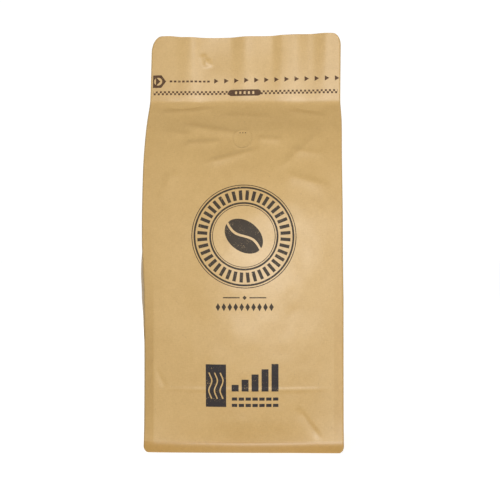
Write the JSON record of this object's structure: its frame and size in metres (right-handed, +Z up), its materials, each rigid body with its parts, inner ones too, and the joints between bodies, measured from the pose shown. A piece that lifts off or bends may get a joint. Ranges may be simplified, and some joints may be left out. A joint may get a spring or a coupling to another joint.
{
  "type": "coffee bag",
  "caption": "Standing flat-bottom kraft paper coffee pouch with side gussets, sealed edges and a flat pinched top above a zipper.",
  "frame": {"origin": "middle of the base outline, on the surface that the pouch stands on", "axes": "+Z up along the pouch's height, -Y towards the printed front panel, +X to the right seen from the front"},
  "size_m": [0.1594, 0.1, 0.3228],
  "materials": {
    "kraft_paper": "unbleached kraft paper with a thin satin film, dark brown and charcoal print"
  },
  "bodies": {
    "root": {"pouch": "kraft_paper"}
  },
  "joints": []
}
